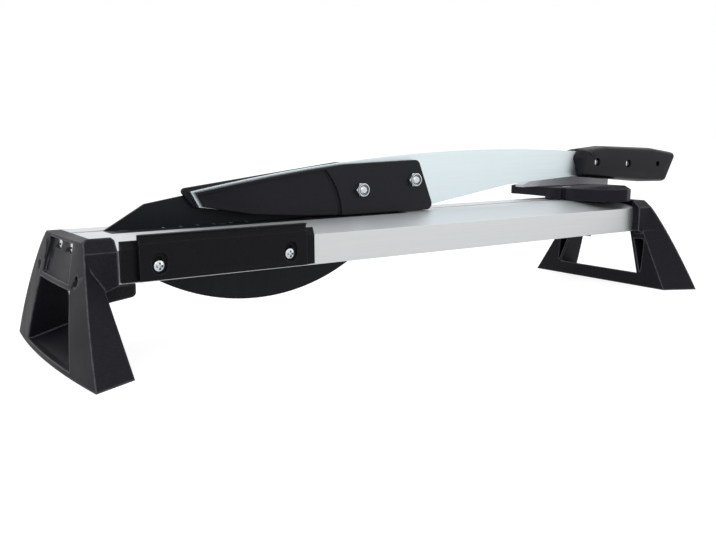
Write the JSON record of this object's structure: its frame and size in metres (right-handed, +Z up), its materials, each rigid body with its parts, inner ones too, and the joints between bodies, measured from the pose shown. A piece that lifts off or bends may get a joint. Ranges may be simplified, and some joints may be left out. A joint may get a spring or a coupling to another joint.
{
  "type": "laminate cutter",
  "caption": "Lever cutter for laminate planks: slotted aluminium table on two windowed feet, round-edged blade on a long pivoting arm with a guard and handle, and a sliding angle stop.",
  "frame": {"origin": "on the ground, under the middle of the outer box", "axes": "+X along the table from the pivot end to the handle, +Y away from the front face, +Z up"},
  "size_m": [0.7674, 0.224, 0.1555],
  "materials": {
    "black_plastic": "fine grain",
    "guard_plastic": "fine grain",
    "handle_plastic": "fine grain",
    "plate_plastic": "smooth",
    "stop_plastic": "satin",
    "aluminium": "satin anodised",
    "lever_steel": "satin",
    "blade_steel": "dark, ground edge",
    "zinc_steel": "bright zinc",
    "pin_steel": "turned",
    "dark_screws": "black oxide",
    "grey_bar": "satin"
  },
  "bodies": {
    "base": {"left_foot": "black_plastic", "right_foot": "black_plastic", "table": "aluminium", "foot_screws": "zinc_steel", "counter_blade": "blade_steel", "counter_screws": "dark_screws", "pivot_pin": "pin_steel", "pivot_clip": "pin_steel", "pivot_spacer": "pin_steel", "backing_plate": "plate_plastic", "backing_screws": "dark_screws", "plate_screws": "zinc_steel"},
    "lever": {"blade": "blade_steel", "lever_arm": "lever_steel", "guard_front": "guard_plastic", "guard_rear": "guard_plastic", "blade_bolts": "zinc_steel", "bolt_washers": "zinc_steel", "lock_nuts": "zinc_steel", "handle_front": "handle_plastic", "handle_rear": "handle_plastic", "handle_screws": "zinc_steel", "handle_nuts": "zinc_steel"},
    "front_plate": {"front_plate": "plate_plastic"},
    "stop_carriage": {"stop_screw": "pin_steel", "stop_washer": "pin_steel"},
    "angle_stop": {"stop_body": "stop_plastic", "stop_bar": "grey_bar", "bar_screws": "dark_screws"},
    "clamp_knob": {"clamp_knob": "plate_plastic"}
  },
  "joints": [
    {"name": "lever_hinge", "type": "hinge", "parent": "base", "child": "lever", "pos_m": [-0.30225, 0.0168, 0.084], "axis": [0, -1, 0], "range_deg": [0, 52]},
    {"name": "plate_slide", "type": "slide", "parent": "base", "child": "front_plate", "axis": [0, 0, 1], "range_m": [-0.0045, 0]},
    {"name": "stop_slide", "type": "slide", "parent": "base", "child": "stop_carriage", "axis": [1, 0, 0], "range_m": [-0.09, 0]},
    {"name": "stop_swivel", "type": "hinge", "parent": "stop_carriage", "child": "angle_stop", "pos_m": [0.21475, 0.0183, 0.095], "axis": [0, 0, 1], "range_deg": [0, 45]},
    {"name": "knob_turn", "type": "hinge", "parent": "stop_carriage", "child": "clamp_knob", "pos_m": [0.21475, 0.0183, 0.054], "axis": [0, 0, 1], "range_deg": [0, 180]}
  ]
}
